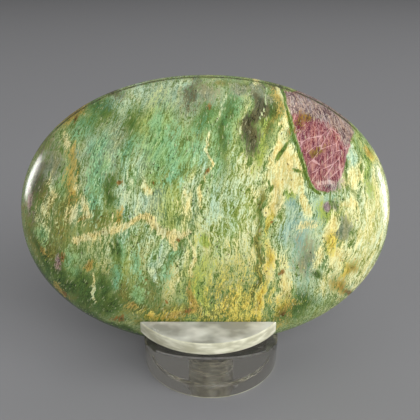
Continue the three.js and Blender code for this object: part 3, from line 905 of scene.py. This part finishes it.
for name, (dullTone, brightTone, clearest, cloudiest, roughness, sizes) in acrylicFinishes.items():
    material = newMaterial(name)
    tree = material.node_tree
    absorption = addNode(tree, "VolumeAbsorption", {}, {
        "Color": toLinear(acrylic["depthColour"]), "Density": acrylic["density"]})
    shader = addNode(tree, "BsdfPrincipled", {}, {
        "Base Color": toLinear(dullTone), "Roughness": roughness, "IOR": acrylic["ior"],
        "Transmission Weight": clearest})
    addNode(tree, "OutputMaterial", {},
            {"Surface": shader.outputs[0], "Volume": absorption.outputs[0]})
    acrylics.append(material)
    if not sizes:
        continue  # clear all over: it needs no clouds
    place = addNode(tree, "TexCoord").outputs["Object"]
    scaled = addNode(tree, "Mapping", {},
                     {"Vector": place, "Scale": [1 / (size * mm) for size in sizes]})
    clouds = addNode(tree, "TexNoise", {}, {
        "Vector": scaled.outputs[0], "Scale": 1.0,
        "Detail": acrylic["cloudDetail"]}).outputs["Fac"]
    clearShare = addNode(tree, "MapRange", {}, {
        "Value": clouds, "From Min": acrylic["cloudRange"][0],
        "From Max": acrylic["cloudRange"][1], "To Min": clearest, "To Max": cloudiest})
    whiteness = addNode(tree, "Mix", {"data_type": "RGBA"},
                        {0: clouds, 6: toLinear(dullTone), 7: toLinear(brightTone)})
    shine = addNode(tree, "MapRange", {}, {
        "Value": clouds, "From Min": acrylic["shineRange"][0],
        "From Max": acrylic["shineRange"][1],
        "To Min": roughness * acrylic["shineShares"][0],
        "To Max": roughness * acrylic["shineShares"][1]})
    bump = addNode(tree, "Bump", {}, {
        "Strength": acrylic["bumpStrength"], "Distance": acrylic["bumpHeight"] * mm,
        "Height": clouds})
    tree.links.new(whiteness.outputs[2], shader.inputs["Base Color"])
    tree.links.new(shine.outputs[0], shader.inputs["Roughness"])
    tree.links.new(clearShare.outputs[0], shader.inputs["Transmission Weight"])
    tree.links.new(bump.outputs[0], shader.inputs["Normal"])

# Each face gets its finish from where its middle lies and which way it looks.
centres = np.zeros(len(standMesh.polygons) * 3)
normals = np.zeros(len(standMesh.polygons) * 3)
standMesh.polygons.foreach_get("center", centres)
standMesh.polygons.foreach_get("normal", normals)
centreX, centreY, centreZ = centres.reshape(-1, 3).T / mm
halfSlot, slack = stand["slotWidth"] / 2, stand["slack"]
slotX = np.abs(centreX - stand["footAxis"])
fromAxis = np.hypot(slotX, centreY)
boreTop = stand["boreDepth"] + stand["boreTip"]
onWall = (np.abs(np.abs(centreY) - halfSlot) < slack) & (np.abs(normals[1::3]) > 0.99)
onCorner = (np.abs(centreY) < halfSlot - slack) & (slotX < stand["slotMiddle"])
onCorner &= (centreZ > boreTop) & (centreZ < stand["footHeight"])
isDrilled = (fromAxis < stand["boreRadius"] + slack) & (centreZ < boreTop)
isDrilled &= centreZ > stand["recessDepth"] + slack
inRecess = np.abs(fromAxis - stand["recessRadius"]) < slack
isDrilled |= inRecess & (centreZ < stand["recessDepth"])
# The top face takes white spots of painted reflection; the rim and the foot's lower edge take the milky
# cream of painted reflection.
isTopFace = centreZ > stand["topHeight"] - slack
isMilky = (centreZ > stand["footHeight"] + slack) & ~isTopFace & ~onWall
onFootEdge = fromAxis > stand["footRadius"] - stand["edge"]
isMilky |= onFootEdge & (centreZ < stand["edge"])
isSawn = (onWall | onCorner) & ~isDrilled
# The painted highlight strip lies in the slot's corners, next to the walls.
highlightWidth = stand["slotCorner"] * stand["highlightShare"]
isSlotEdgeHighlight = onCorner & (np.abs(centreY) > halfSlot - highlightWidth)
standMesh.materials.clear()
for material in acrylics:
    standMesh.materials.append(material)
finish = np.select([isDrilled, isSlotEdgeHighlight, isMilky, isSawn, isTopFace], [5, 4, 2, 3, 1], 0)
standMesh.polygons.foreach_set("material_index", finish.astype(np.int32))
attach(standPiece, "root")
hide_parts("stand")
print("stand:", len(standMesh.polygons), "faces")

studio = {
    "floorSize": 6.0,  # m
    "floorDrop": 0.02,  # mm, keeps the foot's underside clear of it
    "floorColour": "#929294",
    "floorRoughness": 0.9,
    "floorShine": 0.2,
    "world": 0.15,
    # name: (place in m, aim in m, width and height in m, power in W)
    "lights": {
        "rightBox": ((1.26, -0.66, 0.51), (0, 0, 0.03), (0.96, 0.96), 16.0),
        "leftBox": ((-1.26, -0.72, 0.57), (0, 0, 0.03), (0.90, 0.96), 3.5),
        "topPanel": ((0.1, 0.3, 1.4), (0, 0.2, 0), (1.8, 1.8), 4.6),
        "frontPanel": ((0.25, -1.2, 1.0), (0, 0, 0.03), (1.2, 0.8), 12.0),
        "rightCard": ((0.115, 0.02, 0.03), (0.035, 0, 0.035), (0.022, 0.045), 0.032),
        "leftCard": ((-0.13, 0.02, 0.05), (-0.035, 0, 0.035), (0.018, 0.045), 0.05),
    },
    "cards": ("rightCard", "leftCard"),  # seen in the polish only
    "matte": ("frontPanel", "rightBox", "leftBox"),  # not seen in the polish
    "throughClear": ("topPanel", "frontPanel"),  # seen through the acrylic
}

floorPoints = np.array([[-1, -1, 0], [1, -1, 0], [1, 1, 0], [-1, 1, 0]]) * studio["floorSize"] / 2 / mm
floorPoints[:, 2] = -studio["floorDrop"]
floorPiece = newPiece("floor", floorPoints, [[0, 1, 2, 3]])
floorMaterial = newMaterial("plainPaper")
tree = floorMaterial.node_tree
shader = addNode(tree, "BsdfPrincipled", {}, {
    "Base Color": toLinear(studio["floorColour"]), "Roughness": studio["floorRoughness"],
    "Specular IOR Level": studio["floorShine"]})
addNode(tree, "OutputMaterial", {}, {"Surface": shader.outputs[0]})
floorPiece.data.materials.append(floorMaterial)

world = bpy.data.worlds.new("studio")
bpy.context.scene.world = world
world.use_nodes = True
world.node_tree.nodes.clear()
background = addNode(world.node_tree, "Background", {},
                     {"Color": (1, 1, 1, 1), "Strength": studio["world"]})
addNode(world.node_tree, "OutputWorld", {}, {"Surface": background.outputs[0]})

for name, (place, aim, size, power) in studio["lights"].items():
    lightData = bpy.data.lights.new(name, "AREA")
    lightData.shape = "RECTANGLE"
    lightData.size, lightData.size_y = size
    lightData.energy = power
    light = bpy.data.objects.new(name, lightData)
    bpy.context.scene.collection.objects.link(light)
    light.location = place
    light.visible_camera = False
    light.visible_diffuse = name not in studio["cards"]
    light.visible_glossy = name not in studio["matte"]
    light.visible_transmission = name in studio["throughClear"]
    away = mathutils.Vector(place) - mathutils.Vector(aim)
    light.rotation_euler = away.to_track_quat("Z", "Y").to_euler()
bpy.context.scene.view_settings.view_transform = "Standard"
print("studio ready")
